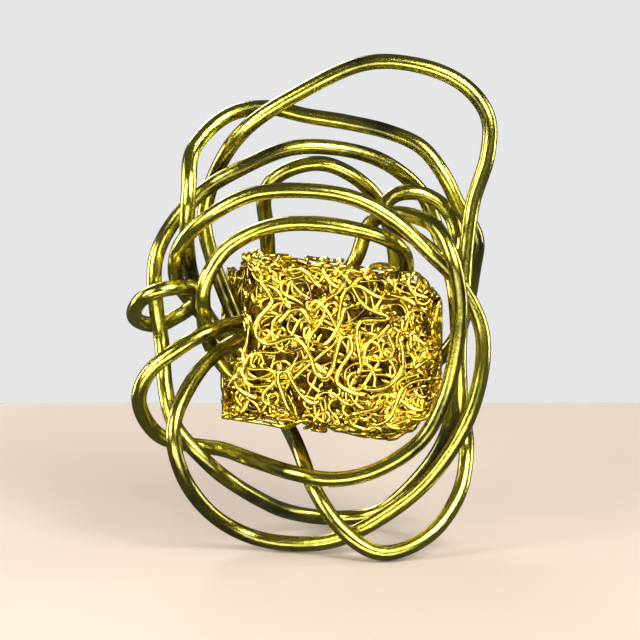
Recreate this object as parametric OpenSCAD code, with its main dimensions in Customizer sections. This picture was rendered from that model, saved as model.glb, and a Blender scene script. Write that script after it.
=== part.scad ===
// Metal ring disentanglement puzzle: closed rings of thick wire, threaded through and round
// a folded mat of crumpled fine wire.
// +X is to the right and -Y is the front. The rings stand on z = 0.

/* [Thick wire] */
// Diameter of the wire that the rings are bent from
ring_wire_d = 4; // [3:0.1:4.8]
// Room between two rings where they cross
ring_room = 0.5; // [0.3:0.1:1]

/* [Overall size] */
// Width of the tangle over the outermost wires
puzzle_w = 92.6; // [76:0.1:112]
// Height of the tangle, feet to top
puzzle_h = 123.3; // [102:0.1:148]

/* [Folded mat] */
// Width of the mat, open edge to outside of fold, in a tangle 92.6 mm wide
mat_w = 50; // [41:0.5:52]
// Height of the mat, in a tangle 123.3 mm tall and of 4 mm wire
mat_h = 48; // [40:0.5:52]
// Thickness of the front layer
front_layer_t = 9; // [6:0.5:11]
// Thickness of the rear layer
rear_layer_t = 5.5; // [4:0.5:6.5]
// Thickness of the fold that joins the two layers
fold_t = 6; // [4:0.5:7]
// How far the rear layer reaches past the front layer's open edge
rear_step = 6; // [3:0.5:8]

/* [Fine wire] */
// Diameter of the fine wire on the face of the mat
fine_wire_d = 1.1; // [0.6:0.05:1.3]
// Room between the fine wires and the mat that they lie on
fine_room = 0.1; // [0.05:0.05:0.3]

/* [Hidden] */

ring_sides = 8;
ring_steps = 3;
fine_sides = 6;
fine_steps = 2;
ring_colour = [0.6, 0.58, 0.2];
mat_colour = [0.83, 0.68, 0.18];
fine_colour = [0.93, 0.79, 0.25];

// The routes are drawn for these sizes, and follow the driving sizes from them.
drawn_w = 92.6;
drawn_h = 123.3;
drawn_wire_d = 4;
drawn_room = 0.5;
wide = (puzzle_w - ring_wire_d) / (drawn_w - drawn_wire_d);
tall = (puzzle_h - ring_wire_d) / (drawn_h - drawn_wire_d);
deep = (ring_wire_d + ring_room) / (drawn_wire_d + drawn_room);

drawn_mat_w = 50;
drawn_mat_h = 48;
drawn_mat_left = -18;
drawn_mat_right = 32;
drawn_mat_low = 27;

// Faces of the mat, front to back
gap_front = -6 * deep;
gap_back = 12 * deep;
mat_front = gap_front - front_layer_t;
mat_back = gap_back + rear_layer_t;
// The mat stretches with the tangle, keeps its fold in place, and gives way to thicker wire
thicker = (ring_wire_d - drawn_wire_d) / 2 + (ring_room - drawn_room) / 2;
mat_wide = mat_w * wide;
mat_tall = mat_h * tall - 2 * thicker;
mat_right = drawn_mat_right * wide;
mat_left = mat_right - mat_wide;
mat_low = ring_wire_d / 2 + (drawn_mat_low - drawn_wire_d / 2) * tall + thicker;
fold_inside = mat_right - fold_t;

// Centre line of each ring, as [right, back, up], for the drawn sizes
tall_route = [
  [-27.5, 9, 81], [-24, 7.5, 93.5], [-17, 3, 104], [-5, 1, 112.5], [11.5, 0, 120.5], [25, -0.5, 120.5],
  [36.5, -1, 116], [43, -2, 108], [43, -3, 98], [39.5, -4.5, 87], [38, -6, 77], [37, -8, 65],
  [36, -11, 51], [36.5, -11, 37], [38, -10, 26], [36, -15, 15], [28.5, -21.5, 6], [17, -24.5, 2],
  [7, -23, 7.5], [0, -18, 17], [-3.5, -10, 24.5], [-7, 1.5, 29.5], [-14, 9, 40], [-20, 9, 55],
  [-25.5, 9, 70]
];
back_route = [
  [-31.5, -4, 81], [-31, -4, 90], [-30, 2, 99], [-22, 8, 106.5], [-12, 9.5, 108.5], [-2, 9, 106.5],
  [8, 8, 105], [18, 6, 103], [26.5, 4, 99.5], [32, 2.5, 93], [36, 2, 85], [40.5, 1.5, 77],
  [40, 4, 69], [38.5, 11, 58], [35.5, 18.5, 47.5], [28, 24, 39], [16, 26.5, 35], [2, 26.5, 35],
  [-11, 26.5, 39], [-21, 23, 46], [-27.5, 17, 55], [-30.5, 10, 64.5], [-31.5, 0, 73.5]
];
side_route = [
  [-18.5, 2, 94], [-28, 3, 88], [-35.5, 2, 80], [-39.5, -1, 71.5], [-39.5, -2, 61], [-38, -2.5, 51],
  [-37, -6.5, 40], [-34.5, -11.5, 31.5], [-28.5, -13, 24.5], [-22, -10.5, 18], [-14, -2, 11], [-7.5, 7, 6],
  [0, 13.5, 3], [8, 16.5, 2], [16, 15.5, 3.5], [24, 12, 10.5], [32, 6, 22.5], [35.5, 1, 36],
  [36, -0.5, 49], [35.5, 1.5, 60], [34, 7.5, 68.5], [31, 12, 77], [27, 13, 86.5], [18, 9.5, 94.5],
  [7, 6, 98.5], [-6, 3.5, 99]
];
wide_route = [
  [-34.5, 1, 67], [-33, -7.5, 76.5], [-25.5, -12, 84.5], [-15, -13.5, 90], [-2, -14, 91], [10, -14, 89],
  [20, -14, 83.5], [28.5, -13.5, 75.5], [36, -13, 67.5], [41.5, -13.5, 56], [41, -15, 43.5],
  [36.5, -16.5, 31],
  [28, -16.5, 18.5], [17, -16.5, 9.5], [5.5, -16, 3.5], [-6, -13.5, 2], [-17, -12, 4], [-26.5, -15.5, 11],
  [-33, -19.5, 22], [-34.5, -18.5, 34], [-28.5, -9, 45], [-21.5, -2, 50], [-13.5, 1, 52.5],
  [-8.5, 0.5, 53], [-5, 1, 51.5], [-3.5, 2, 48.5], [-5, 3, 45.5], [-8.5, 3.5, 44], [-13, 3.5, 44.5],
  [-19, 4, 49], [-25.5, 6, 54], [-31.5, 7, 60.5]
];
threaded_route = [
  [-19.5, -4, 56], [-26, -9.5, 55], [-33, -12, 51.5], [-41, -12, 45], [-43.5, -10.5, 37], [-39, -7.5, 28.5],
  [-31, -5.5, 25.5], [-23, -6, 24.5], [-14.5, -13.5, 23], [-5, -21, 21.5], [5, -24, 20.5], [16, -23.5, 23],
  [26.5, -22, 30], [32, -20.5, 40], [35, -20, 52], [36, -19.5, 64], [34, -19, 75], [30, -14.5, 82],
  [23.5, -8, 84], [17, -5, 83.5], [13, -2, 79.5], [10, -1, 71], [2, -2.5, 63], [-8.5, -3.5, 58]
];
round_route = [
  [-27.5, -6, 60], [-27, -7.5, 67], [-21.5, -7, 75.5], [-11, -8, 81], [0, -9, 82], [10.5, -9, 80.5],
  [18, -8, 78], [22.5, -3, 73.5], [23, 1, 66], [23, 3, 55], [19, 3.5, 44.5], [8.5, 3, 37],
  [-3, 0, 35.5], [-13.5, -0.5, 38], [-21.5, 1.5, 43], [-26.5, 0.5, 51]
];
inner_route = [
  [-12, 17, 77], [-12.5, 14.5, 85.5], [-8, 13, 91.5], [1.5, 12.5, 94], [10, 13.5, 90.5], [16.5, 16, 83.5],
  [20, 20, 73], [21, 24, 61], [20.5, 28.5, 49], [18.5, 31.5, 38.5], [10, 31.5, 30], [0, 27, 27],
  [-8.5, 22, 31.5], [-10.5, 20, 42], [-11, 20, 55], [-11.5, 20.5, 67]
];
left_link_route = [
  [-34, -6, 65.5], [-30.5, -3, 65], [-29, -1, 62.5], [-30.5, 1, 59.5], [-34, 2, 57], [-38.5, 3.5, 54.5],
  [-43, 2.5, 55], [-45, -2, 58], [-43, -6.5, 62.5], [-38.5, -8, 65]
];
right_link_route = [
  [34, 7, 82], [30.5, 7, 85.5], [25.5, 6.5, 87.5], [20.5, 6, 87], [17.5, 5, 84.5], [17.5, 4.5, 81.5],
  [21, 4, 79], [26, 3, 76], [30.5, 2.5, 72.5], [33.5, 2.5, 72], [35.5, 3.5, 74],
  [35.5, 5.5, 78]
];

// Outlines of the mat's layers, as [right, up] from the lower open corner of the front layer
front_outline = [
  [-5, 6], [-5, 14], [-2, 20], [0, 26], [0, 48], [15, 47.5], [32, 46], [40, 45], [46.5, 41.5], [49.5, 35],
  [50, 23], [48.5, 12], [44.5, 4], [39, 0.5], [31, 0], [20, 2], [10, 3.5]
];
rear_outline = [[0, 5], [0, 40], [15, 42], [38, 41], [50, 36], [50, 8], [40, 4], [20, 3]];

// Fine wires that lie on the face of the mat, as [right, up], for the drawn sizes
s_route = [
  [-15, 70.5], [-11, 65.5], [-10.5, 63], [-13.5, 59.5], [-14.5, 56], [-13, 53.5], [-10.5, 53], [-5.5, 54.5],
  [-3, 53], [-1, 50], [0.5, 45.5], [3, 44.5], [4.5, 46.5], [5.5, 50.5], [6.5, 54], [8.5, 55],
  [9.5, 53], [9, 50.5], [7, 47.5], [5.5, 44], [7, 42], [10, 40.5], [13, 40], [14, 38.5]
];
curl_route = [
  [9.5, 43.5], [11.5, 47], [11, 51.5], [10.5, 55.5], [11.5, 58.5], [13.5, 59], [17, 59], [20.5, 59.5]
];
sweep_route = [
  [11, 42], [15, 41.5], [18.5, 42.5], [21, 45], [22, 47.5], [22, 50.5], [21.5, 54], [22.5, 56]
];
hook_route = [
  [25, 57.5], [24, 55], [24, 52], [25.5, 49.5]
];
straight_route = [
  [23.5, 45], [26.5, 48], [30.5, 50.5]
];
crook_route = [
  [31, 44], [27, 44], [23.5, 43], [21.5, 41], [20, 37], [18.5, 34], [15, 32.5], [13, 33]
];
teardrop_route = [
  [28.5, 42], [30, 39.5], [29.5, 36.5], [28, 34.5], [25, 34], [22, 35]
];
low_route = [
  [8, 33.5], [10.5, 35.5], [14.5, 36.5], [17.5, 37.5]
];
finger_route = [
  [-5, 34], [-6.5, 37], [-8, 41], [-9, 44], [-8.5, 46], [-6.5, 46], [-5.5, 44], [-3.5, 40.5],
  [-1.5, 38.5], [0.5, 38], [2.5, 39.5]
];
corner_route = [
  [-19, 47], [-19.5, 43.5], [-18, 41], [-15, 39.5], [-12, 38.5]
];
arch_route = [
  [-10, 56.5], [-7.5, 59.5], [-5.5, 61.5], [-3, 61.5], [-1, 58.5], [0, 55.5]
];
band_route = [
  [16.5, 65.5], [20.5, 65], [24, 63.5], [27, 61]
];
crest_route = [
  [-6.5, 69], [-6.5, 71], [-4, 72], [-1.5, 70.5], [1, 67.5], [4, 66.5]
];
neck_route = [
  [11.5, 61], [9.5, 62.5], [7.5, 61.5], [6.5, 58.5], [4.5, 54.5], [2.5, 52.5], [0.5, 52.5]
];

// ---- Tubes --------------------------------------------------------------------------------

// Point i of a closed route, counted round and round
function around(route, i) = route[(i + len(route)) % len(route)];

// Point i of an open route, carried straight on past each end
function beyond(route, i) =
  let (last = len(route) - 1)
  i < 0 ? 2 * route[0] - route[1] : i > last ? 2 * route[last] - route[last - 1] : route[i];

// Smooth curve from b to c, at t from 0 to 1, that heads from a and on to d
function curve(a, b, c, d, t) =
  0.5 * (2 * b + (c - a) * t + (2 * a - 5 * b + 4 * c - d) * t * t + (3 * b - a - 3 * c + d) * t * t * t);

function closed_path(route, steps) =
  [
    for (i = [0 : len(route) - 1])
      for (k = [0 : steps - 1])
        curve(around(route, i - 1), route[i], around(route, i + 1), around(route, i + 2), k / steps)
  ];

function open_path(route, steps) =
  [
    for (i = [0 : len(route) - 2])
      for (k = [0 : steps - 1])
        curve(beyond(route, i - 1), route[i], route[i + 1], beyond(route, i + 2), k / steps),
    route[len(route) - 1]
  ];

function unit(v) = v / norm(v);

// Corners of a round section at p, square to along; facing is square to the wire's own plane
function section(p, along, r, sides, facing) =
  let (out = unit(cross(along, facing)))
  let (over = cross(along, out))
  [for (s = [0 : sides - 1]) p + r * (cos(360 * s / sides) * out + sin(360 * s / sides) * over)];

// Index of corner s of section i, for a tube of the given number of sections
function corner(i, s, sections, sides) = (i % sections) * sides + s % sides;

// Two triangles for each side of each length of tube between two sections
function skin(lengths, sections, sides) =
  [
    for (i = [0 : lengths - 1])
      for (s = [0 : sides - 1])
        each [
          [for (c = [[0, 0], [1, 0], [1, 1]]) corner(i + c.x, s + c.y, sections, sides)],
          [for (c = [[0, 0], [1, 1], [0, 1]]) corner(i + c.x, s + c.y, sections, sides)]
        ]
  ];

module closed_tube(path, d, sides, facing = [0, 1, 0]) {
  count = len(path);
  corners = [
    for (i = [0 : count - 1])
      each section(path[i], unit(around(path, i + 1) - around(path, i - 1)), d / 2, sides, facing)
  ];
  polyhedron(points = corners, faces = skin(count, count, sides));
}

module open_tube(path, d, sides, facing = [0, 1, 0]) {
  count = len(path);
  corners = [
    for (i = [0 : count - 1])
      each section(path[i], unit(beyond(path, i + 1) - beyond(path, i - 1)), d / 2, sides, facing)
  ];
  first_end = [for (s = [0 : sides - 1]) s];
  last_end = [for (s = [sides - 1 : -1 : 0]) (count - 1) * sides + s];
  polyhedron(points = corners, faces = concat(skin(count - 1, count, sides), [first_end, last_end]));
}

// A route at the driving sizes: its lowest wire still touches z = 0
function placed(route) =
  [for (p = route) [p.x * wide, p.y * deep, ring_wire_d / 2 + (p.z - drawn_wire_d / 2) * tall]];

module ring(route, facing = [0, 1, 0]) {
  color(ring_colour) closed_tube(closed_path(placed(route), ring_steps), ring_wire_d, ring_sides, facing);
}

// ---- Mat ----------------------------------------------------------------------------------

// An outline stretched to the mat's width and height
function fitted(outline) =
  [for (p = outline) [p.x * mat_wide / drawn_mat_w, p.y * mat_tall / drawn_mat_h]];

// A layer with the given outline, between two depths
module layer(outline, front, back) {
  translate([mat_left, back, mat_low])
    rotate([90, 0, 0])
      linear_extrude(back - front) polygon(fitted(outline));
}

module front_mat() {
  color(mat_colour) difference() {
    layer(front_outline, mat_front, gap_front);
    translate([fold_inside, mat_front - 1, mat_low - 1]) cube([fold_t + 1, front_layer_t + 2, mat_tall + 2]);
  }
}

module rear_mat() {
  color(mat_colour) {
    difference() {
      translate([-rear_step, 0, 0]) layer(rear_outline, gap_back, mat_back);
      translate([fold_inside, gap_back - 1, mat_low - 1]) cube([mat_wide, rear_layer_t + 2, mat_tall + 2]);
    }
  }
}

module mat_fold() {
  color(mat_colour) intersection() {
    layer(front_outline, mat_front, mat_back);
    translate([fold_inside, 0, mat_low]) linear_extrude(mat_tall) {
      translate([0, mat_front + fold_t]) square([fold_t, mat_back - mat_front - 2 * fold_t]);
      for (y = [mat_front + fold_t, mat_back - fold_t])
        intersection() {
          translate([0, y]) circle(r = fold_t, $fn = 48);
          translate([0, mat_front]) square([fold_t, mat_back - mat_front]);
        }
    }
  }
}

// ---- Fine wires on the face of the mat ------------------------------------------------------

// A route on the face of the mat, moved and stretched with it
function on_face(route) =
  [
    for (p = route)
      [
        mat_left + (p.x - drawn_mat_left) * mat_wide / drawn_mat_w,
        mat_front - fine_room - fine_wire_d / 2,
        mat_low + (p.y - drawn_mat_low) * mat_tall / drawn_mat_h
      ]
  ];

module fine_wire(route) {
  color(fine_colour) open_tube(open_path(on_face(route), fine_steps), fine_wire_d, fine_sides);
}

module s_wire() {
  fine_wire(s_route);
}

module curl_wire() {
  fine_wire(curl_route);
}

module sweep_wire() {
  fine_wire(sweep_route);
}

module hook_wire() {
  fine_wire(hook_route);
}

module straight_wire() {
  fine_wire(straight_route);
}

module crook_wire() {
  fine_wire(crook_route);
}

module teardrop_wire() {
  fine_wire(teardrop_route);
}

module low_wire() {
  fine_wire(low_route);
}

module finger_wire() {
  fine_wire(finger_route);
}

module corner_wire() {
  fine_wire(corner_route);
}

module arch_wire() {
  fine_wire(arch_route);
}

module band_wire() {
  fine_wire(band_route);
}

module crest_wire() {
  fine_wire(crest_route);
}

module neck_wire() {
  fine_wire(neck_route);
}

// ---- Rings --------------------------------------------------------------------------------

module tall_ring() {
  ring(tall_route);
}

module back_hoop() {
  ring(back_route);
}

module side_hoop() {
  ring(side_route);
}

module wide_ring() {
  ring(wide_route);
}

module threaded_ring() {
  ring(threaded_route);
}

module round_ring() {
  ring(round_route);
}

module inner_ring() {
  ring(inner_route);
}

module left_link() {
  ring(left_link_route, [0, 0.66, 0.75]);
}

module right_link() {
  ring(right_link_route);
}

front_mat();
rear_mat();
mat_fold();
tall_ring();
back_hoop();
side_hoop();
wide_ring();
threaded_ring();
round_ring();
inner_ring();
left_link();
right_link();
s_wire();
curl_wire();
sweep_wire();
hook_wire();
straight_wire();
crook_wire();
teardrop_wire();
low_wire();
finger_wire();
corner_wire();
arch_wire();
band_wire();
crest_wire();
neck_wire();
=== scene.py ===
"""Looks of the metal ring disentanglement puzzle: smooth bent rings, a crumpled wire mat and the stage."""

import math

import bpy
import numpy as np
from bpy.props import FloatProperty, FloatVectorProperty, IntProperty, PointerProperty
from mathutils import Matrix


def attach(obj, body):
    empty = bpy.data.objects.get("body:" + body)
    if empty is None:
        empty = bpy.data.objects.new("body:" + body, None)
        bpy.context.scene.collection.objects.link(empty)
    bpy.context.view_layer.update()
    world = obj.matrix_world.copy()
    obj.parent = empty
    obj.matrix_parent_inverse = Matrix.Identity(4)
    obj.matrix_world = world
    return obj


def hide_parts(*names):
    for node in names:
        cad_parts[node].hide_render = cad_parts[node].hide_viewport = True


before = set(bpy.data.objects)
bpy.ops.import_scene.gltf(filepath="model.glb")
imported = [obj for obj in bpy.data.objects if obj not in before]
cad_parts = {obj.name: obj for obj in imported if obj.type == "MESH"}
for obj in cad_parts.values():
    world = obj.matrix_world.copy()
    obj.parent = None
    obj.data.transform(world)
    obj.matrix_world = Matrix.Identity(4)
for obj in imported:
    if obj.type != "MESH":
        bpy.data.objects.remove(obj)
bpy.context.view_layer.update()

bl_info = {
    "name": "Ring puzzle looks",
    "version": (1, 0, 0),
    "blender": (4, 5, 0),
    "location": "3D view > Sidebar > Ring puzzle",
    "description": "Builds the bent rings, the crumpled wire mat and the stage of a ring puzzle",
    "category": "Object",
}

MM = 0.001

# Centre line of each ring, as [right, back, up] in millimetres
RING_ROUTES = {
    "tall_ring": [
        (-27.5, 9, 81), (-24, 7.5, 93.5), (-17, 3, 104), (-5, 1, 112.5), (11.5, 0, 120.5),
        (25, -0.5, 120.5), (36.5, -1, 116), (43, -2, 108), (43, -3, 98), (39.5, -4.5, 87), (38, -6, 77),
        (37, -8, 65), (36, -11, 51), (36.5, -11, 37), (38, -10, 26), (36, -15, 15), (28.5, -21.5, 6),
        (17, -24.5, 2), (7, -23, 7.5), (0, -18, 17), (-3.5, -10, 24.5), (-7, 1.5, 29.5), (-14, 9, 40),
        (-20, 9, 55), (-25.5, 9, 70),
    ],
    "back_hoop": [
        (-31.5, -4, 81), (-31, -4, 90), (-30, 2, 99), (-22, 8, 106.5), (-12, 9.5, 108.5), (-2, 9, 106.5),
        (8, 8, 105), (18, 6, 103), (26.5, 4, 99.5), (32, 2.5, 93), (36, 2, 85), (40.5, 1.5, 77),
        (40, 4, 69), (38.5, 11, 58), (35.5, 18.5, 47.5), (28, 24, 39), (16, 26.5, 35), (2, 26.5, 35),
        (-11, 26.5, 39), (-21, 23, 46), (-27.5, 17, 55), (-30.5, 10, 64.5), (-31.5, 0, 73.5),
    ],
    "side_hoop": [
        (-18.5, 2, 94), (-28, 3, 88), (-35.5, 2, 80), (-39.5, -1, 71.5), (-39.5, -2, 61), (-38, -2.5, 51),
        (-37, -6.5, 40), (-34.5, -11.5, 31.5), (-28.5, -13, 24.5), (-22, -10.5, 18), (-14, -2, 11),
        (-7.5, 7, 6), (0, 13.5, 3), (8, 16.5, 2), (16, 15.5, 3.5), (24, 12, 10.5), (32, 6, 22.5),
        (35.5, 1, 36), (36, -0.5, 49), (35.5, 1.5, 60), (34, 7.5, 68.5), (31, 12, 77), (27, 13, 86.5),
        (18, 9.5, 94.5), (7, 6, 98.5), (-6, 3.5, 99),
    ],
    "wide_ring": [
        (-34.5, 1, 67), (-33, -7.5, 76.5), (-25.5, -12, 84.5), (-15, -13.5, 90), (-2, -14, 91),
        (10, -14, 89), (20, -14, 83.5), (28.5, -13.5, 75.5), (36, -13, 67.5), (41.5, -13.5, 56),
        (41, -15, 43.5), (36.5, -16.5, 31), (28, -16.5, 18.5), (17, -16.5, 9.5), (5.5, -16, 3.5),
        (-6, -13.5, 2), (-17, -12, 4), (-26.5, -15.5, 11), (-33, -19.5, 22), (-34.5, -18.5, 34),
        (-28.5, -9, 45), (-21.5, -2, 50), (-13.5, 1, 52.5), (-8.5, 0.5, 53), (-5, 1, 51.5),
        (-3.5, 2, 48.5), (-5, 3, 45.5), (-8.5, 3.5, 44), (-13, 3.5, 44.5), (-19, 4, 49), (-25.5, 6, 54),
        (-31.5, 7, 60.5),
    ],
    "threaded_ring": [
        (-19.5, -4, 56), (-26, -9.5, 55), (-33, -12, 51.5), (-41, -12, 45), (-43.5, -10.5, 37),
        (-39, -7.5, 28.5), (-31, -5.5, 25.5), (-23, -6, 24.5), (-14.5, -13.5, 23), (-5, -21, 21.5),
        (5, -24, 20.5), (16, -23.5, 23), (26.5, -22, 30), (32, -20.5, 40), (35, -20, 52), (36, -19.5, 64),
        (34, -19, 75), (30, -14.5, 82), (23.5, -8, 84), (17, -5, 83.5), (13, -2, 79.5), (10, -1, 71),
        (2, -2.5, 63), (-8.5, -3.5, 58),
    ],
    "round_ring": [
        (-27.5, -6, 60), (-27, -7.5, 67), (-21.5, -7, 75.5), (-11, -8, 81), (0, -9, 82), (10.5, -9, 80.5),
        (18, -8, 78), (22.5, -3, 73.5), (23, 1, 66), (23, 3, 55), (19, 3.5, 44.5), (8.5, 3, 37),
        (-3, 0, 35.5), (-13.5, -0.5, 38), (-21.5, 1.5, 43), (-26.5, 0.5, 51),
    ],
    "inner_ring": [
        (-12, 17, 77), (-12.5, 14.5, 85.5), (-8, 13, 91.5), (1.5, 12.5, 94), (10, 13.5, 90.5),
        (16.5, 16, 83.5), (20, 20, 73), (21, 24, 61), (20.5, 28.5, 49), (18.5, 31.5, 38.5), (10, 31.5, 30),
        (0, 27, 27), (-8.5, 22, 31.5), (-10.5, 20, 42), (-11, 20, 55), (-11.5, 20.5, 67),
    ],
    "left_link": [
        (-34, -6, 65.5), (-30.5, -3, 65), (-29, -1, 62.5), (-30.5, 1, 59.5), (-34, 2, 57),
        (-38.5, 3.5, 54.5), (-43, 2.5, 55), (-45, -2, 58), (-43, -6.5, 62.5), (-38.5, -8, 65),
    ],
    "right_link": [
        (34, 7, 82), (30.5, 7, 85.5), (25.5, 6.5, 87.5), (20.5, 6, 87), (17.5, 5, 84.5), (17.5, 4.5, 81.5),
        (21, 4, 79), (26, 3, 76), (30.5, 2.5, 72.5), (33.5, 2.5, 72), (35.5, 3.5, 74), (35.5, 5.5, 78),
    ],
}
# Direction square to the plane that each ring is mostly bent in
RING_FACING = {"left_link": (0, 0.66, 0.75)}

# Fine wires that lie on the face of the mat, as [right, up] in millimetres
FACE_ROUTES = {
    "s_wire": [
        (-15, 70.5), (-11, 65.5), (-10.5, 63), (-13.5, 59.5), (-14.5, 56), (-13, 53.5), (-10.5, 53),
        (-5.5, 54.5), (-3, 53), (-1, 50), (0.5, 45.5), (3, 44.5), (4.5, 46.5), (5.5, 50.5), (6.5, 54),
        (8.5, 55), (9.5, 53), (9, 50.5), (7, 47.5), (5.5, 44), (7, 42), (10, 40.5), (13, 40), (14, 38.5),
    ],
    "curl_wire": [
        (9.5, 43.5), (11.5, 47), (11, 51.5), (10.5, 55.5), (11.5, 58.5), (13.5, 59), (17, 59),
        (20.5, 59.5),
    ],
    "sweep_wire": [
        (11, 42), (15, 41.5), (18.5, 42.5), (21, 45), (22, 47.5), (22, 50.5), (21.5, 54), (22.5, 56),
    ],
    "hook_wire": [
        (25, 57.5), (24, 55), (24, 52), (25.5, 49.5),
    ],
    "straight_wire": [
        (23.5, 45), (26.5, 48), (30.5, 50.5),
    ],
    "crook_wire": [
        (31, 44), (27, 44), (23.5, 43), (21.5, 41), (20, 37), (18.5, 34), (15, 32.5), (13, 33),
    ],
    "teardrop_wire": [
        (28.5, 42), (30, 39.5), (29.5, 36.5), (28, 34.5), (25, 34), (22, 35),
    ],
    "low_wire": [
        (8, 33.5), (10.5, 35.5), (14.5, 36.5), (17.5, 37.5),
    ],
    "finger_wire": [
        (-5, 34), (-6.5, 37), (-8, 41), (-9, 44), (-8.5, 46), (-6.5, 46), (-5.5, 44), (-3.5, 40.5),
        (-1.5, 38.5), (0.5, 38), (2.5, 39.5),
    ],
    "corner_wire": [
        (-19, 47), (-19.5, 43.5), (-18, 41), (-15, 39.5), (-12, 38.5),
    ],
    "arch_wire": [
        (-10, 56.5), (-7.5, 59.5), (-5.5, 61.5), (-3, 61.5), (-1, 58.5), (0, 55.5),
    ],
    "band_wire": [
        (16.5, 65.5), (20.5, 65), (24, 63.5), (27, 61),
    ],
    "crest_wire": [
        (-6.5, 69), (-6.5, 71), (-4, 72), (-1.5, 70.5), (1, 67.5), (4, 66.5),
    ],
    "neck_wire": [
        (11.5, 61), (9.5, 62.5), (7.5, 61.5), (6.5, 58.5), (4.5, 54.5), (2.5, 52.5), (0.5, 52.5),
    ],
}

# Outline of the mat unrolled flat: millimetres along its outer face from the front open edge, and height
MAT_OUTLINE = [
    (-5, 33), (10, 30.5), (20, 29), (31, 27), (39, 27.5), (44, 30.5), (50, 36), (58, 38),
    (70, 38), (78, 37), (84, 35), (93, 31.5), (113, 30), (133, 32), (133, 65.5), (118, 67),
    (95, 66.5), (84, 63.5), (76, 62.5), (62, 63), (53, 65), (47, 69), (40, 72), (32, 73),
    (15, 74.5), (0, 75), (0, 53), (-2, 47), (-5, 41),
]
# Outer face of the mat seen from above, in millimetres: its front open edge, its front and rear faces,
# where it turns into the fold, and the radius of the fold's two corners
FACE_LEFT = -18.0
FACE_FRONT = -15.0
FACE_BACK = 17.5
FOLD_AT = 26.0
FOLD_ROUND = 6.0

# Tubes: SPACING is the distance between points in millimetres, SIDES the corners round the tube, STEPS
# the points that smooth each stretch of a route, and EASE the length of the bends that are eased out
RING_SPACING = 0.8
RING_SIDES = 28
RING_STEPS = 24
RING_EASE = 1.1
STRAND_SPACING = 0.62
STRAND_POINTS = 90
STRAND_SIDES = 6
EDGE_SPACING = 0.6
FACE_SPACING = 0.4
FACE_SIDES = 10
FACE_STEPS = 10


# ---- Curves and tubes ---------------------------------------------------------------------


def through(points, steps, closed):
    """Smooth curve through every point: from b to c it is the cubic whose slope at b is half the way
    from a to c, and at c half the way from b to d, where a and d are the points before and after."""
    pts = np.asarray(points, float)
    if closed:
        a, b, c, d = (np.roll(pts, k, 0) for k in (1, 0, -1, -2))
    else:
        ext = np.vstack([2 * pts[0] - pts[1], pts, 2 * pts[-1] - pts[-2]])
        a, b, c, d = ext[:-3], ext[1:-2], ext[2:-1], ext[3:]
    a, b, c, d = (v[:, None, :] for v in (a, b, c, d))
    t = (np.arange(steps) / steps)[None, :, None]
    path = 0.5 * (2 * b + (c - a) * t + (2 * a - 5 * b + 4 * c - d) * t**2 + (3 * b - a - 3 * c + d) * t**3)
    path = path.reshape(-1, pts.shape[1])
    return path if closed else np.vstack([path, pts[-1:]])


def evened(path, spacing, closed):
    """The same curve with points at equal lengths along it: each coordinate is read off against length."""
    loop = np.vstack([path, path[:1]]) if closed else path
    length = np.concatenate([[0], np.cumsum(np.linalg.norm(np.diff(loop, axis=0), axis=1))])
    count = max(4, int(round(length[-1] / spacing)))
    at = np.linspace(0, length[-1], count + 1)
    out = np.stack([np.interp(at, length, loop[:, k]) for k in range(loop.shape[1])], axis=1)
    return out[:-1] if closed else out


def eased(path, reach, spacing):
    """A closed curve with its short waves taken out: each wave's share falls as a bell curve of its
    number, so bends shorter than reach fade."""
    waves = np.fft.rfft(path, axis=0)
    number = np.arange(len(waves))[:, None] * 2 * math.pi / (len(path) * spacing)
    return np.fft.irfft(waves * np.exp(-0.5 * (number * reach) ** 2), n=len(path), axis=0)


def unit(v):
    """Each vector divided by its own length."""
    return v / np.maximum(np.linalg.norm(v, axis=-1, keepdims=True), 1e-9)


def tube_grid(paths, radius, sides, facing, closed):
    """Tube round each path: at a point p with direction a, out is a crossed with facing and over is a
    crossed with out, and corner s lies at p + radius * (cos(turn) * out + sin(turn) * over).
    paths is (tubes, points, 3); radius and facing fit it. The result is (tubes, points, sides, 3)."""
    if closed:
        along = unit(np.roll(paths, -1, 1) - np.roll(paths, 1, 1))
    else:
        along = unit(np.gradient(paths, axis=1))
    out = unit(np.cross(along, facing))
    over = np.cross(along, out)
    turn = 2 * math.pi * np.arange(sides) / sides
    ring = np.cos(turn)[:, None] * out[:, :, None, :] + np.sin(turn)[:, None] * over[:, :, None, :]
    return paths[:, :, None, :] + radius * ring


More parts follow.
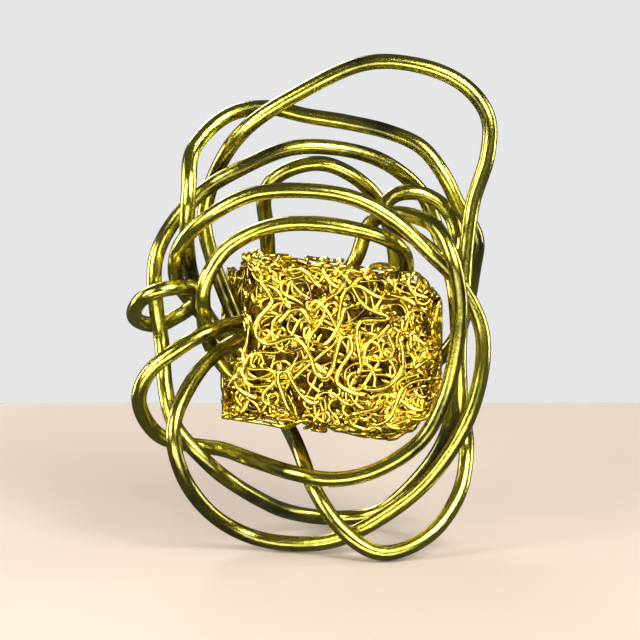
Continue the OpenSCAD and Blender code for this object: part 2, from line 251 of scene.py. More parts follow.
def grid_piece(name, grid, closed, material, spacing=1.0):
    """Mesh of a grid of tubes: four-cornered faces join each corner to the next one round and the next
    one along, and an open tube's ends are closed with one flat face each. The UV map runs along the
    tube in metres and round it from 0 to 1."""
    tubes, count, sides, _ = grid.shape
    t, i, s = np.meshgrid(
        np.arange(tubes), np.arange(count if closed else count - 1), np.arange(sides), indexing="ij"
    )

    def corner(di, ds):
        """Number of the corner di points further along and ds further round, for every face."""
        return ((t * count + (i + di) % count) * sides + (s + ds) % sides).ravel()

    quads = np.stack([corner(0, 0), corner(1, 0), corner(1, 1), corner(0, 1)], axis=1)
    loops = quads.ravel()
    totals = np.full(len(quads), 4)
    u = np.stack([(i + di).ravel() * spacing for di in (0, 1, 1, 0)], axis=1).ravel()
    v = np.stack([(s + ds).ravel() / sides for ds in (0, 0, 1, 1)], axis=1).ravel()
    if not closed:
        first = (np.arange(tubes)[:, None] * count) * sides + np.arange(sides)[None, :]
        last = first[:, ::-1] + (count - 1) * sides
        loops = np.concatenate([loops, first.ravel(), last.ravel()])
        totals = np.concatenate([totals, np.full(2 * tubes, sides)])
        u = np.concatenate([u, np.zeros(2 * tubes * sides)])
        v = np.concatenate([v, np.zeros(2 * tubes * sides)])
    mesh = bpy.data.meshes.new(name)
    mesh.vertices.add(tubes * count * sides)
    mesh.vertices.foreach_set("co", (grid.reshape(-1) * MM).astype(np.float32))
    mesh.loops.add(len(loops))
    mesh.loops.foreach_set("vertex_index", loops.astype(np.int32))
    mesh.polygons.add(len(totals))
    starts = np.concatenate([[0], np.cumsum(totals)[:-1]])
    mesh.polygons.foreach_set("loop_start", starts.astype(np.int32))
    mesh.polygons.foreach_set("use_smooth", totals == 4)
    mesh.update(calc_edges=True)
    layer = mesh.uv_layers.new(name="along")
    layer.data.foreach_set("uv", np.stack([u, v], axis=1).ravel().astype(np.float32))
    if mesh.validate():
        raise RuntimeError("the mesh of " + name + " had faults")
    mesh.materials.append(material)
    piece = bpy.data.objects.new(name, mesh)
    bpy.context.scene.collection.objects.link(piece)
    return piece


# ---- Mat ----------------------------------------------------------------------------------


def mat_thickness(along):
    """Thickness of the mat at a length along it: 9 mm in front, 6 mm in the fold and 5.5 mm behind."""
    return np.interp(along, [44, 50, 78, 84], [9.0, 6.0, 6.0, 5.5])


def mat_face(along):
    """Place on the mat's outer face, seen from above, and the way it faces, for a length along it:
    straight along the front, a quarter turn, straight back, a quarter turn, straight along the rear."""
    front = FOLD_AT - FACE_LEFT
    quarter = FOLD_ROUND * math.pi / 2
    side = FACE_BACK - FACE_FRONT - 2 * FOLD_ROUND
    turn = np.clip(along - front, 0, quarter) / FOLD_ROUND
    turn = turn + np.clip(along - front - quarter - side, 0, quarter) / FOLD_ROUND
    facing = np.stack([np.sin(turn), -np.cos(turn)], axis=-1)
    x = FOLD_AT + np.minimum(along - front, 0) - np.maximum(along - front - 2 * quarter - side, 0)
    y = FACE_FRONT + FOLD_ROUND + np.clip(along - front - quarter, 0, side)
    return np.stack([x, y], axis=-1) + FOLD_ROUND * facing, facing


def edge_distance(flat, outline):
    """Distance of flat points from the outline, less than 0 inside, and the way out at its nearest
    point. Each side of the outline is tried, and the nearest one kept."""
    a = np.asarray(outline, float)
    b = np.roll(a, -1, 0)
    p = flat.reshape(-1, 1, 2)
    ab = b - a
    t = np.clip(((p - a) * ab).sum(-1) / (ab * ab).sum(-1), 0, 1)
    near = a + t[..., None] * ab
    gap = np.linalg.norm(p - near, axis=-1)
    best = gap.argmin(1)
    pick = np.arange(len(best))
    gap, near = gap[pick, best], near[pick, best]
    crosses = (a[:, 1] > p[..., 1]) != (b[:, 1] > p[..., 1])
    rise = np.where(ab[:, 1] == 0, 1e-9, ab[:, 1])
    left = p[..., 0] < a[:, 0] + ab[:, 0] * (p[..., 1] - a[:, 1]) / rise
    inside = (crosses & left).sum(1) % 2 == 1
    out = unit(p[:, 0] - near) * np.where(inside, -1, 1)[:, None]
    return np.where(inside, -gap, gap).reshape(flat.shape[:-1]), out.reshape(flat.shape)


def on_mat(flat, depth):
    """Carries flat points onto the mat, depth below its skin. Well inside the outline a point stays
    where it is on the outer face. Past half the mat's thickness from the edge it follows a half circle
    over the edge, and beyond that it runs back inwards on the inner face. Deep points go round the edge
    on a smaller half circle, down to the tightest one."""
    half = mat_thickness(flat[..., 0]) / 2
    gap, out = edge_distance(flat, MAT_OUTLINE)
    turn = np.maximum((gap + half) / half, 0)
    bend = np.minimum(turn, math.pi)
    tightest = 0.3
    reach = np.maximum(half - depth, tightest)
    inset = half - reach * np.sin(bend) + (turn - bend) * half
    below = half - reach * np.cos(bend)
    wrapped = flat - out * (gap + inset)[..., None]
    place = np.where((turn > 0)[..., None], wrapped, flat)
    below = np.where(turn > 0, below, depth)
    spot, facing = mat_face(place[..., 0])
    spot = spot - facing * below[..., None]
    return np.stack([spot[..., 0], spot[..., 1], place[..., 1]], axis=-1)


def softened(paths, passes):
    """Open paths with each inner point moved to the mean of itself twice and its two neighbours."""
    for _ in range(passes):
        inner = (paths[:, :-2] + 2 * paths[:, 1:-1] + paths[:, 2:]) / 4
        paths = np.concatenate([paths[:, :1], inner, paths[:, -1:]], axis=1)
    return paths


def from_ends(count):
    """How many points lie between each point of an open path and its nearer end."""
    return np.minimum(np.arange(count), np.arange(count)[::-1])


def smooth_noise(rng, rows, count, reach):
    """Rows of random numbers smoothed along each row by a bell curve reach points wide, scaled so that
    their mean square is 1."""
    waves = np.fft.rfft(rng.standard_normal((rows, count)), axis=1)
    number = np.arange(waves.shape[1]) * 2 * math.pi / count
    rows_out = np.fft.irfft(waves * np.exp(-0.5 * (number * reach) ** 2), n=count, axis=1)
    return rows_out / np.sqrt((rows_out**2).mean())


def crumpled(rng, rows, count, step, bend, reach, area):
    """Flat random wires: the bend at each point is smoothed noise, the heading is its running sum, and
    the place is the running sum of the heading's cosine and sine, from a random start in area."""
    curve = bend * smooth_noise(rng, rows, count, reach)
    heading = rng.uniform(0, 2 * math.pi, (rows, 1)) + np.cumsum(curve * step, axis=1)
    run = np.stack([np.cumsum(np.cos(heading), 1), np.cumsum(np.sin(heading), 1)], axis=-1) * step
    run = run - run.mean(1, keepdims=True)
    low, high = np.asarray(area[0], float), np.asarray(area[1], float)
    return run + low + (high - low) * rng.uniform(0, 1, (rows, 1, 2))


def mat_normals(paths):
    """Way out of the mat at each point of some paths, near enough to lay a tube's corners by: away from
    the middle of its depth, to the right past the fold, and a little upwards."""
    middle, rightwards, upwards = 1.0, 0.05, 0.3
    x = np.clip(paths[..., 0] - FOLD_AT, 0, None)
    y = paths[..., 1] - middle
    return unit(np.stack([x * 2 + rightwards, y, upwards * np.ones_like(x)], axis=-1))


def strand_layer(name, seed, area, rows, depth, wave, bend, reach, radius, material):
    """One layer of crumpled wires at one depth in the mat, rising and falling by wave as they go. Wires
    that miss the mat, or stray too far past its edge, are left out. A wire's radius varies by a small
    share of smoothed noise and tapers over its last points."""
    stray, skin = 17, 0.02
    wave_reach, size_reach, size_share = 9.0, 12.0, 0.05
    tip_share, taper = 0.35, 2.0
    rng = np.random.default_rng(seed)
    flat = crumpled(rng, rows, STRAND_POINTS, STRAND_SPACING, bend, reach, area)
    gap, _ = edge_distance(flat, MAT_OUTLINE)
    flat = flat[(gap.max(1) < stray) & (gap.min(1) < 0)]
    sink = depth + wave * smooth_noise(rng, len(flat), STRAND_POINTS, wave_reach)
    paths = softened(on_mat(flat, np.maximum(sink, radius + skin)), 2)
    size = radius * (1 + size_share * smooth_noise(rng, len(flat), STRAND_POINTS, size_reach))
    size = size * np.clip(tip_share + from_ends(STRAND_POINTS) / taper, 0, 1)
    grid = tube_grid(paths, size[..., None, None], STRAND_SIDES, mat_normals(paths), False)
    return grid_piece(name, grid, False, material, STRAND_SPACING * MM)


# ---- Materials ----------------------------------------------------------------------------


def shade(colour, times, plus=0.0):
    """The colour made lighter or darker: each part times a factor, plus an amount, and 1 at most."""
    return tuple(min(1.0, c * times + plus) for c in colour)


def node_material(name):
    """A new node material, with its node tree and its shader."""
    material = bpy.data.materials.new(name)
    material.use_nodes = True
    tree = material.node_tree
    shader = tree.nodes["Principled BSDF"]
    return material, tree, shader


def noise(tree, source, scale, detail, rough=0.5, stretch=None):
    """A noise texture, stretched by a mapping when asked, that gives a value about 0.5."""
    if stretch:
        mapping = tree.nodes.new("ShaderNodeMapping")
        mapping.inputs["Scale"].default_value = stretch
        tree.links.new(source, mapping.inputs["Vector"])
        source = mapping.outputs["Vector"]
    node = tree.nodes.new("ShaderNodeTexNoise")
    node.inputs["Scale"].default_value = scale
    node.inputs["Detail"].default_value = detail
    node.inputs["Roughness"].default_value = rough
    tree.links.new(source, node.inputs["Vector"])
    return node.outputs["Fac"]


def ramp(tree, source, stops):
    """Colour that blends from stop to stop as the source rises. A stop is a value and its colour."""
    node = tree.nodes.new("ShaderNodeValToRGB")
    elements = node.color_ramp.elements
    elements[0].position, elements[0].color = stops[0][0], (*stops[0][1], 1)
    elements[1].position, elements[1].color = stops[-1][0], (*stops[-1][1], 1)
    for place, colour in stops[1:-1]:
        elements.new(place).color = (*colour, 1)
    tree.links.new(source, node.inputs["Fac"])
    return node.outputs["Color"]


def to_range(tree, source, low, high, out_low, out_high):
    """The source carried in proportion from between low and high to between out_low and out_high."""
    node = tree.nodes.new("ShaderNodeMapRange")
    node.inputs["From Min"].default_value = low
    node.inputs["From Max"].default_value = high
    node.inputs["To Min"].default_value = out_low
    node.inputs["To Max"].default_value = out_high
    tree.links.new(source, node.inputs["Value"])
    return node.outputs["Result"]


def bump(tree, shader, source, distance, strength, before=None):
    """Lets the source raise the shader's surface by up to distance in metres, on top of a bump before."""
    node = tree.nodes.new("ShaderNodeBump")
    node.inputs["Distance"].default_value = distance
    node.inputs["Strength"].default_value = strength
    tree.links.new(source, node.inputs["Height"])
    if before:
        tree.links.new(before, node.inputs["Normal"])
    tree.links.new(node.outputs["Normal"], shader.inputs["Normal"])
    return node.outputs["Normal"]


def thick_wire_metal(main, tarnish):
    """Olive brass: bright metal with darker tarnish in patches, fine lengthwise scuffs and pits."""
    material, tree, shader = node_material("thick_wire_brass")
    place = tree.nodes.new("ShaderNodeTexCoord").outputs["Object"]
    uv = tree.nodes.new("ShaderNodeUVMap")
    uv.uv_map = "along"
    patches = noise(tree, place, scale=42, detail=5, rough=0.62)
    scuffs = noise(tree, uv.outputs["UV"], scale=6, detail=4, rough=0.7, stretch=(60, 7, 1))
    pits = noise(tree, place, scale=1500, detail=3, rough=0.6)
    colour = ramp(tree, patches, [(0.35, tarnish), (0.5, main), (0.68, shade(main, 1.6))])
    tree.links.new(colour, shader.inputs["Base Color"])
    shader.inputs["Metallic"].default_value = 1.0
    rough = to_range(tree, patches, low=0.3, high=0.7, out_low=0.24, out_high=0.12)
    tree.links.new(rough, shader.inputs["Roughness"])
    shader.inputs["Coat Weight"].default_value = 0.7
    shader.inputs["Coat Roughness"].default_value = 0.1
    first = bump(tree, shader, scuffs, distance=0.0001, strength=0.45)
    bump(tree, shader, pits, distance=0.00009, strength=0.4, before=first)
    return material


def fine_wire_metal(name, main, deep):
    """Yellow gold wire: saturated bright metal with warmer, darker stretches."""
    material, tree, shader = node_material(name)
    place = tree.nodes.new("ShaderNodeTexCoord").outputs["Object"]
    patches = noise(tree, place, scale=160, detail=3, rough=0.6)
    grain = noise(tree, place, scale=2600, detail=2, rough=0.5)
    colour = ramp(tree, patches, [(0.34, deep), (0.5, main), (0.7, shade(main, 1.15))])
    tree.links.new(colour, shader.inputs["Base Color"])
    shader.inputs["Metallic"].default_value = 1.0
    rough = to_range(tree, patches, low=0.3, high=0.7, out_low=0.17, out_high=0.08)
    tree.links.new(rough, shader.inputs["Roughness"])
    shader.inputs["Coat Weight"].default_value = 0.9
    shader.inputs["Coat Roughness"].default_value = 0.06
    bump(tree, shader, grain, distance=0.00002, strength=0.2)
    return material


def painted_shade_core(deep):
    """Inside of the mat in painted shade: the deep gold darkened nearly to black, with lighter streaks and
    knots like wires lying deeper.
    """
    material, tree, shader = node_material("mat_core_painted_shade")
    place = tree.nodes.new("ShaderNodeTexCoord").outputs["Object"]
    streaks = noise(tree, place, scale=420, detail=6, rough=0.75)
    # Painted shade: the deep gold darkened to between 8 and 80 percent of its brightness
    colour = ramp(tree, streaks, [(0.45, shade(deep, 0.08)), (0.66, shade(deep, 0.8))])
    tree.links.new(colour, shader.inputs["Base Color"])
    shader.inputs["Metallic"].default_value = 0.9
    shader.inputs["Roughness"].default_value = 0.42
    bump(tree, shader, streaks, distance=0.0008, strength=0.9)
    return material


def matt(name, colour, roughness, grain, glow=(0, 0, 0)):
    """Dull paint with a faint cloud in its colour, and a glow of its own where one is given."""
    material, tree, shader = node_material(name)
    place = tree.nodes.new("ShaderNodeTexCoord").outputs["Object"]
    cloud = noise(tree, place, scale=grain, detail=4, rough=0.6)
    paint = ramp(tree, cloud, [(0.3, shade(colour, 0.97)), (0.7, colour)])
    tree.links.new(paint, shader.inputs["Base Color"])
    shader.inputs["Roughness"].default_value = roughness
    shader.inputs["Specular IOR Level"].default_value = 0.1
    shader.inputs["Emission Color"].default_value = (*glow, 1)
    shader.inputs["Emission Strength"].default_value = 1.0
    return material


# ---- Settings -----------------------------------------------------------------------------


class RingPuzzleWire(bpy.types.PropertyGroup):
    """Size and colours of the thick wire"""

    radius: FloatProperty(
        name="Ring wire radius",
        description="Radius of the thick wire",
        default=0.00197,
        min=0.0005,
        unit="LENGTH",
    )
    unevenness: FloatProperty(
        name="Unevenness",
        description="How far the thick wire's radius dips, as a share of it",
        default=0.05,
        min=0.0,
        max=0.5,
        subtype="FACTOR",
    )
    brass: FloatVectorProperty(
        name="Brass", description="Colour of the thick wire", default=(0.5, 0.45, 0.05), subtype="COLOR"
    )
    tarnish: FloatVectorProperty(
        name="Tarnish", description="Colour of its tarnish", default=(0.09, 0.08, 0.018), subtype="COLOR"
    )


class RingPuzzleMat(bpy.types.PropertyGroup):
    """Sizes, colours and crumple of the fine wire"""

    radius: FloatProperty(
        name="Fine wire radius",
        description="Radius of the fine wire",
        default=0.00054,
        min=0.0001,
        unit="LENGTH",
    )
    face_radius: FloatProperty(
        name="Face wire radius",
        description="Radius of the wires on the face",
        default=0.00064,
        min=0.0001,
        unit="LENGTH",
    )
    seed: IntProperty(
        name="Seed", description="Which crumple of wires is made", default=7, min=0, subtype="UNSIGNED"
    )
    gold: FloatVectorProperty(
        name="Gold", description="Colour of the fine wire", default=(0.85, 0.64, 0.045), subtype="COLOR"
    )
    deep: FloatVectorProperty(
        name="Deep gold",
        description="Colour of its darker stretches",
        default=(0.36, 0.2, 0.012),
        subtype="COLOR",
    )


class RingPuzzleStage(bpy.types.PropertyGroup):
    """Colours of the stage and strength of its lights"""

    floor: FloatVectorProperty(
        name="Floor", description="Colour of the floor", default=(0.53, 0.44, 0.36), subtype="COLOR"
    )
    wall: FloatVectorProperty(
        name="Wall", description="Colour of the wall", default=(0.74, 0.745, 0.75), subtype="COLOR"
    )
    light: FloatProperty(
        name="Light",
        description="Strength of the lights, as a share of their own",
        default=1.0,
        min=0.0,
        max=4.0,
        subtype="FACTOR",
    )


# ---- Operators ----------------------------------------------------------------------------


class MESH_OT_puzzle_rings(bpy.types.Operator):
    """Bends the nine thick rings"""

    bl_idname = "mesh.puzzle_rings"
    bl_label = "Thick rings"

    def execute(self, context):
        """Each ring is a tube round its eased closed route. Its radius dips by a share of the mean of
        three waves along it, each set off by its number and swayed round the wire, so that its
        highlights waver as on bent wire."""
        wire = context.scene.ring_puzzle_wire
        metal = thick_wire_metal(tuple(wire.brass), tuple(wire.tarnish))
        waves, offset, sway = (5, 11, 23), 1.7, 0.6
        side = 2 * math.pi * np.arange(RING_SIDES) / RING_SIDES
        for number, (name, route) in enumerate(RING_ROUTES.items()):
            path = evened(through(route, RING_STEPS, True), RING_SPACING, True)
            path = eased(path, RING_EASE, RING_SPACING)[None]
            count = path.shape[1]
            turn = 2 * math.pi * np.arange(count)[:, None] / count
            dips = sum(np.sin(k * turn + offset * k + number + sway * np.cos(side + k)) for k in waves)
            radius = wire.radius / MM * (1 - wire.unevenness * (0.5 + 0.5 * dips / len(waves)))
            facing = np.array(RING_FACING.get(name, (0, 1, 0)), float)
            grid = tube_grid(path, radius[None, :, :, None], RING_SIDES, facing, True)
            piece = grid_piece(name + "_wire", grid, True, metal, RING_SPACING * MM)
            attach(piece, name)
            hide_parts(name)
        return {"FINISHED"}


class MESH_OT_puzzle_core(bpy.types.Operator):
    """Fills the inside of the mat"""

    bl_idname = "mesh.puzzle_core"
    bl_label = "Mat core"

    def execute(self, context):
        """The core is a loop carried along the mat: at a length along it, the loop goes up its outer
        face, over the top, down its inner face and under. It is an oval squared off by taking roots of
        the sine and cosine, a margin inside the outline. The loops shrink to nothing at both ends and
        waver with smoothed noise."""
        mat = context.scene.ring_puzzle_mat
        rng = np.random.default_rng(mat.seed)
        along_count, round_count = 220, 120
        first, run = 1.5, 129
        edge_margin, face_margin = 3.0, 4.6
        waver_by, waver_reach = 0.22, 1.6
        tall_root, deep_root = 0.5, 0.35
        tall_fill, deep_fill = 1.3, 1.6
        # Lower and upper edge of the core's room, as heights at lengths along the mat
        low_at = [-5, 0, 10, 20, 31, 39, 44, 50, 58, 70, 78, 84, 93, 113, 133]
        low = [35, 32.5, 31, 29.5, 28, 28.5, 31, 36.5, 39, 39, 38, 36, 32.5, 31, 33]
        high_at = [-5, -2, 0, 15, 32, 40, 47, 53, 62, 76, 84, 95, 118, 133]
        high = [42, 46, 73.5, 73.5, 72, 71, 68, 64, 62, 62, 63, 67, 68, 66]
        half_turn = np.linspace(0, math.pi, along_count)
        end = np.sin(half_turn) ** 0.5
        along = first + run * (1 - np.cos(half_turn)) / 2
        bottom = np.interp(along, low_at, low) + edge_margin
        top = np.interp(along, high_at, high) - edge_margin
        thick = mat_thickness(along)
        turn = 2 * math.pi * np.arange(round_count) / round_count
        tall = np.sign(np.sin(turn)) * np.abs(np.sin(turn)) ** tall_root
        deep = np.sign(np.cos(turn)) * np.abs(np.cos(turn)) ** deep_root
        half_height = (top - bottom) / 2 * np.clip(end * tall_fill, 0, 1)
        half_depth = (thick - face_margin) / 2 * np.clip(end * deep_fill, 0, 1)
        height = ((top + bottom) / 2)[:, None] + half_height[:, None] * tall
        waver = smooth_noise(rng, along_count, round_count, waver_reach)
        waver = waver + smooth_noise(rng, round_count, along_count, waver_reach).T
        below = (thick / 2)[:, None] - half_depth[:, None] * deep
        below = below + waver_by * waver * np.clip(end, 0, 1)[:, None]
        spot, facing = mat_face(along)
        place = spot[:, None, :] - facing[:, None, :] * below[..., None]
        grid = np.concatenate([place, height[..., None]], axis=-1)[None]
        # The core's colour is painted shade, the dark between the mat's wires
        metal = painted_shade_core(tuple(mat.deep))
        piece = grid_piece("mat_core", grid, False, metal)
        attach(piece, "mat")
        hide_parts("front_mat", "rear_mat", "mat_fold")
        return {"FINISHED"}


class MESH_OT_puzzle_strands(bpy.types.Operator):
    """Crumples the fine wire of the mat"""

    bl_idname = "mesh.puzzle_strands"
    bl_label = "Mat strands"

    def execute(self, context):
        """Layers of random wires at growing depths, over the front, the fold and the rear of the mat; the
        deeper layers are painted darker as shade.
        """
        mat = context.scene.ring_puzzle_mat
        top = fine_wire_metal("fine_wire_gold", tuple(mat.gold), tuple(mat.deep))
        # Painted shade: the deeper layers get a darker copy of the gold and the deep gold
        under = fine_wire_metal("under_wire_shaded_gold", shade(mat.gold, 0.8), shade(mat.deep, 0.6))
        shaded_from_depth = 1.5
        front = ((-10, 24), (60, 78))
        rear = ((50, 26), (140, 74))
        # Name, seed, flat area, number of wires, depth, rise and fall, bend per millimetre, its reach
        layers = [
            ("front_tangle", 11, front, 34, 0.75, 0.15, 0.33, 4.0),
            ("front_under_tangle", 12, front, 62, 1.9, 0.2, 0.36, 3.8),
            ("front_deep_tangle", 13, front, 100, 3.0, 0.25, 0.4, 3.4),
            ("rear_tangle", 14, rear, 60, 0.75, 0.15, 0.33, 4.0),
            ("rear_under_tangle", 15, rear, 120, 1.9, 0.25, 0.38, 3.6),
        ]
        for name, seed, area, rows, depth, wave, bend, reach in layers:
            metal = top if depth < shaded_from_depth else under
            radius = mat.radius / MM
            piece = strand_layer(
                name, mat.seed + seed, area, rows, depth, wave, bend, reach, radius, metal
            )
            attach(piece, "mat")
        return {"FINISHED"}


class MESH_OT_puzzle_left_edge(bpy.types.Operator):
    """Lays the upright wires of the mat's open edge"""

    bl_idname = "mesh.puzzle_left_edge"
    bl_label = "Open edge wires"

    def execute(self, context):
        """Wires from the rear layer's upper left to its lower left corner: each keeps its own place
        across the edge, leans out towards the bottom by a sine, hooks back to the right by a square at
        its foot, and wavers with smoothed noise."""
        mat = context.scene.ring_puzzle_mat
        rng = np.random.default_rng(mat.seed + 31)
        # Painted shade: the open edge's wires get the gold and the deep gold darkened, for the shade on
        # that side
        metal = fine_wire_metal("edge_wire_shaded_gold", shade(mat.gold, 0.6), shade(mat.deep, 0.4))
        rows, count = 84, 64
        left, wide, leftmost = -21.8, 7.5, -23.2
        near, deep = 12.6, 2.5
        high, low, slant, scatter = 67.0, 33.0, 4, 3
        lean_by, hook_from, hook_least, hook_more = 2.0, 0.86, 3, 5
        waver_up, waver_across, waver_deep = 0.35, 0.45, 0.4
        waver_reach, deep_reach = 5, 6
        facing = np.array([0.2, -1, 0.05])
        fall = np.linspace(0, 1, count)[None, :]
        across = rng.uniform(0, 1, (rows, 1))
        layer = rng.uniform(0, 1, (rows, 1))
        top = high - scatter * rng.uniform(0, 1, (rows, 1))
        foot = low + slant * across + scatter * rng.uniform(0, 1, (rows, 1))
        z = top + (foot - top) * fall + waver_up * smooth_noise(rng, rows, count, waver_reach)
        hook_size = hook_least + hook_more * rng.uniform(0, 1, (rows, 1))
        hook = np.clip((fall - hook_from) / (1 - hook_from), 0, 1) ** 2 * hook_size
        lean = np.sin(fall * math.pi / 2) * (1 - across) * lean_by
        x = left + wide * across - lean + hook
        x = x + waver_across * smooth_noise(rng, rows, count, waver_reach)
        y = near + deep * layer + waver_deep * smooth_noise(rng, rows, count, deep_reach)
        paths = softened(np.stack([np.maximum(x, leftmost), y, z], axis=-1), 2)
        radius = np.full((rows, count, 1, 1), mat.radius / MM)
        grid = tube_grid(paths, radius, STRAND_SIDES, facing, False)
        piece = grid_piece("rear_edge_wires", grid, False, metal, EDGE_SPACING * MM)
        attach(piece, "mat")
        return {"FINISHED"}


class MESH_OT_puzzle_face_wires(bpy.types.Operator):
    """Lays the wires that can be followed on the face of the mat"""

    bl_idname = "mesh.puzzle_face_wires"
    bl_label = "Face wires"

    def execute(self, context):
        """Each wire follows its own route just in front of the face, rises and falls a little with
        smoothed noise, and sinks into the mat at both ends by a bell curve of the way to the end."""
        mat = context.scene.ring_puzzle_mat
        rng = np.random.default_rng(mat.seed + 51)
        # Painted light: the face wires get a lighter copy of the gold, as lit wires lying on top of the mat
        metal = fine_wire_metal("face_wire_lit_gold", shade(mat.gold, 1.08, 0.02), shade(mat.gold, 0.6))
        proud, sink_by, sink_reach, sway_by, sway_reach = 0.45, 2.4, 1.3, 0.18, 7
        facing = np.array([0, 1, 0.0])
        for name, route in FACE_ROUTES.items():
            flat = evened(through(route, FACE_STEPS, False), FACE_SPACING, False)
            count = len(flat)
            sink = sink_by * np.exp(-((from_ends(count) * FACE_SPACING / sink_reach) ** 2))
            sway = sway_by * smooth_noise(rng, 1, count, sway_reach)[0]
            y = FACE_FRONT - proud + sink + sway
            path = softened(np.stack([flat[:, 0], y, flat[:, 1]], axis=-1)[None], 3)
            radius = np.full((1, count, 1, 1), mat.face_radius / MM)
            grid = tube_grid(path, radius, FACE_SIDES, facing, False)
            piece = grid_piece(name + "_strand", grid, False, metal, FACE_SPACING * MM)
            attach(piece, "mat")
            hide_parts(name)
        return {"FINISHED"}


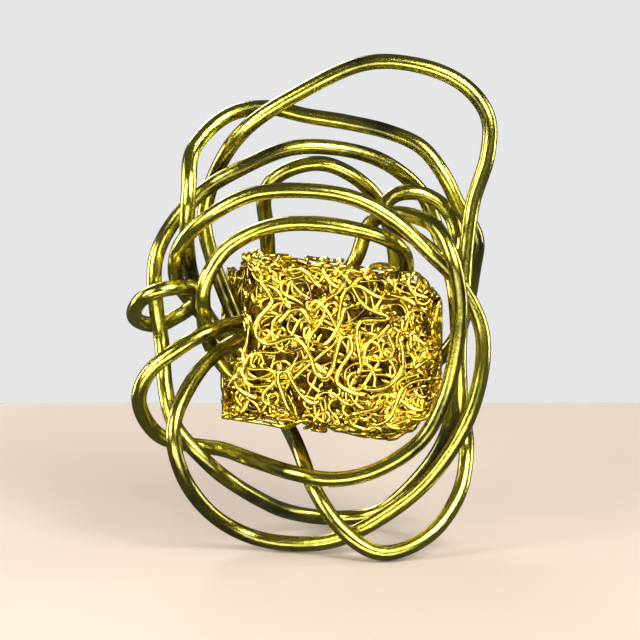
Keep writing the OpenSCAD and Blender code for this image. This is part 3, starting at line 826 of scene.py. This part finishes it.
class SCENE_OT_puzzle_stage(bpy.types.Operator):
    """Sets the floor, the wall, the lights and the camera"""

    bl_idname = "scene.puzzle_stage"
    bl_label = "Stage"

    def card(self, name, corners, material):
        """A flat four-cornered sheet on a fine grid, each point a blend of all four corners. The metal
        doesn't reflect it."""
        cells = 4
        steps = np.linspace(0, 1, cells + 1)
        u, v = np.meshgrid(steps, steps, indexing="ij")
        shares = ((1 - u) * (1 - v), u * (1 - v), u * v, (1 - u) * v)
        sheet = sum(share[..., None] * corner for share, corner in zip(shares, np.asarray(corners, float)))
        i, j = (k.ravel() for k in np.meshgrid(np.arange(cells), np.arange(cells), indexing="ij"))
        first = i * (cells + 1) + j
        faces = np.stack([first, first + cells + 1, first + cells + 2, first + 1], axis=1)
        mesh = bpy.data.meshes.new(name)
        mesh.from_pydata((sheet.reshape(-1, 3) * MM).tolist(), [], faces.tolist())
        mesh.materials.append(material)
        sheet_object = bpy.data.objects.new(name, mesh)
        bpy.context.scene.collection.objects.link(sheet_object)
        sheet_object.visible_glossy = False

    def lamp(self, name, place, target, size, power, mirrored):
        """A lit rectangle at a place, turned to face a target. Unless it is mirrored, the metal doesn't
        reflect it."""
        data = bpy.data.lights.new(name, "AREA")
        data.shape = "RECTANGLE"
        data.size, data.size_y = size[0] * MM, size[1] * MM
        data.energy = power * bpy.context.scene.ring_puzzle_stage.light
        light = bpy.data.objects.new(name, data)
        bpy.context.scene.collection.objects.link(light)
        light.location = [c * MM for c in place]
        light.visible_glossy = mirrored
        light.visible_camera = False
        aim = np.asarray(target, float) - np.asarray(place, float)
        tip = math.acos(-aim[2] / np.linalg.norm(aim))
        light.rotation_euler = (tip, 0, math.atan2(aim[1], aim[0]) - math.pi / 2)

    def room(self, stage):
        """A floor that ends behind the puzzle, and four glowing walls round it, one for each quarter
        turn, each square to the way out from the middle."""
        floor = matt("floor_paint", tuple(stage.floor), roughness=0.6, grain=12)
        wall = matt("wall_paint", (0.08, 0.08, 0.08), roughness=0.9, grain=3, glow=tuple(stage.wall))
        floor_reach, floor_back, floor_at = 1500, 182, -0.2
        left, right = -floor_reach, floor_reach
        ground = [(left, -floor_reach), (right, -floor_reach), (right, floor_back), (left, floor_back)]
        self.card("floor", [(x, y, floor_at) for x, y in ground], floor)
        wall_away, wall_low, wall_high = 1700, (0, 0, -800), (0, 0, 2200)
        for name, turn in (("back", 0), ("left", 90), ("front", 180), ("right", 270)):
            across = np.array([math.cos(math.radians(turn)), math.sin(math.radians(turn)), 0])
            middle = wall_away * np.array([-across[1], across[0], 0])
            start, end = middle - wall_away * across, middle + wall_away * across
            corners = [start + wall_low, end + wall_low, end + wall_high, start + wall_high]
            self.card("wall_" + name, corners, wall)

    def execute(self, context):
        """The camera stands 1200 mm away, 10 degrees above the middle of the puzzle, with a long lens."""
        self.room(context.scene.ring_puzzle_stage)
        target = (0, 0, 60)
        # Name, place, size, watts, and whether the metal mirrors it
        lamps = [
            ("overhead", (0, -250, 900), (900, 900), 0.9, False),
            ("key", (300, -450, 400), (280, 400), 5.2, True),
            ("left_window", (-430, -380, 260), (180, 320), 2.6, True),
            ("right_strip", (460, 80, 160), (70, 360), 1.2, True),
            ("left_strip", (-430, 110, 120), (70, 300), 1.0, True),
            ("rear_window", (-260, 640, 420), (300, 300), 2.4, True),
            ("low_glow", (0, -420, -60), (460, 140), 0.9, True),
        ]
        for name, place, size, power, mirrored in lamps:
            self.lamp(name, place, target, size, power, mirrored)
        world = bpy.data.worlds.new("studio")
        world.use_nodes = True
        sky = world.node_tree.nodes["Background"]
        sky.inputs["Color"].default_value = (0.9, 0.92, 0.95, 1)
        sky.inputs["Strength"].default_value = 0.1
        context.scene.world = world
        lift, distance, aim = math.radians(10), 1200, np.array([1.5, 0, 56.2])
        data = bpy.data.cameras.new("camera")
        data.lens = 270
        data.sensor_width = 36
        data.clip_end = 20
        camera = bpy.data.objects.new("camera", data)
        context.scene.collection.objects.link(camera)
        camera.location = (aim + distance * np.array([0, -math.cos(lift), math.sin(lift)])) * MM
        camera.rotation_euler = (math.pi / 2 - lift, 0, 0)
        context.scene.camera = camera
        context.scene.view_settings.view_transform = "Standard"
        return {"FINISHED"}


class VIEW3D_PT_ring_puzzle(bpy.types.Panel):
    """Lists the steps that build the puzzle"""

    bl_idname = "VIEW3D_PT_ring_puzzle"
    bl_label = "Ring puzzle"
    bl_space_type = "VIEW_3D"
    bl_region_type = "UI"
    bl_category = "Ring puzzle"

    def draw(self, context):
        """A button for each step, then every setting"""
        for step in STEPS:
            self.layout.operator(step.bl_idname)
        for group in ("ring_puzzle_wire", "ring_puzzle_mat", "ring_puzzle_stage"):
            settings = getattr(context.scene, group)
            for name in settings.__annotations__:
                self.layout.prop(settings, name)


STEPS = (
    MESH_OT_puzzle_rings,
    MESH_OT_puzzle_core,
    MESH_OT_puzzle_strands,
    MESH_OT_puzzle_left_edge,
    MESH_OT_puzzle_face_wires,
    SCENE_OT_puzzle_stage,
)
SETTINGS = (RingPuzzleWire, RingPuzzleMat, RingPuzzleStage)


def register():
    """Makes the settings, steps and panel known"""
    for cls in SETTINGS + STEPS + (VIEW3D_PT_ring_puzzle,):
        bpy.utils.register_class(cls)
    bpy.types.Scene.ring_puzzle_wire = PointerProperty(type=RingPuzzleWire)
    bpy.types.Scene.ring_puzzle_mat = PointerProperty(type=RingPuzzleMat)
    bpy.types.Scene.ring_puzzle_stage = PointerProperty(type=RingPuzzleStage)


def unregister():
    """Takes them away again, in the opposite order"""
    del bpy.types.Scene.ring_puzzle_wire
    del bpy.types.Scene.ring_puzzle_mat
    del bpy.types.Scene.ring_puzzle_stage
    for cls in reversed(SETTINGS + STEPS + (VIEW3D_PT_ring_puzzle,)):
        bpy.utils.unregister_class(cls)


def main():
    """Builds every piece in order"""
    register()
    bpy.ops.mesh.puzzle_rings()
    bpy.ops.mesh.puzzle_core()
    bpy.ops.mesh.puzzle_strands()
    bpy.ops.mesh.puzzle_left_edge()
    bpy.ops.mesh.puzzle_face_wires()
    bpy.ops.scene.puzzle_stage()
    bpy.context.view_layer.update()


if __name__ == "__main__":
    main()
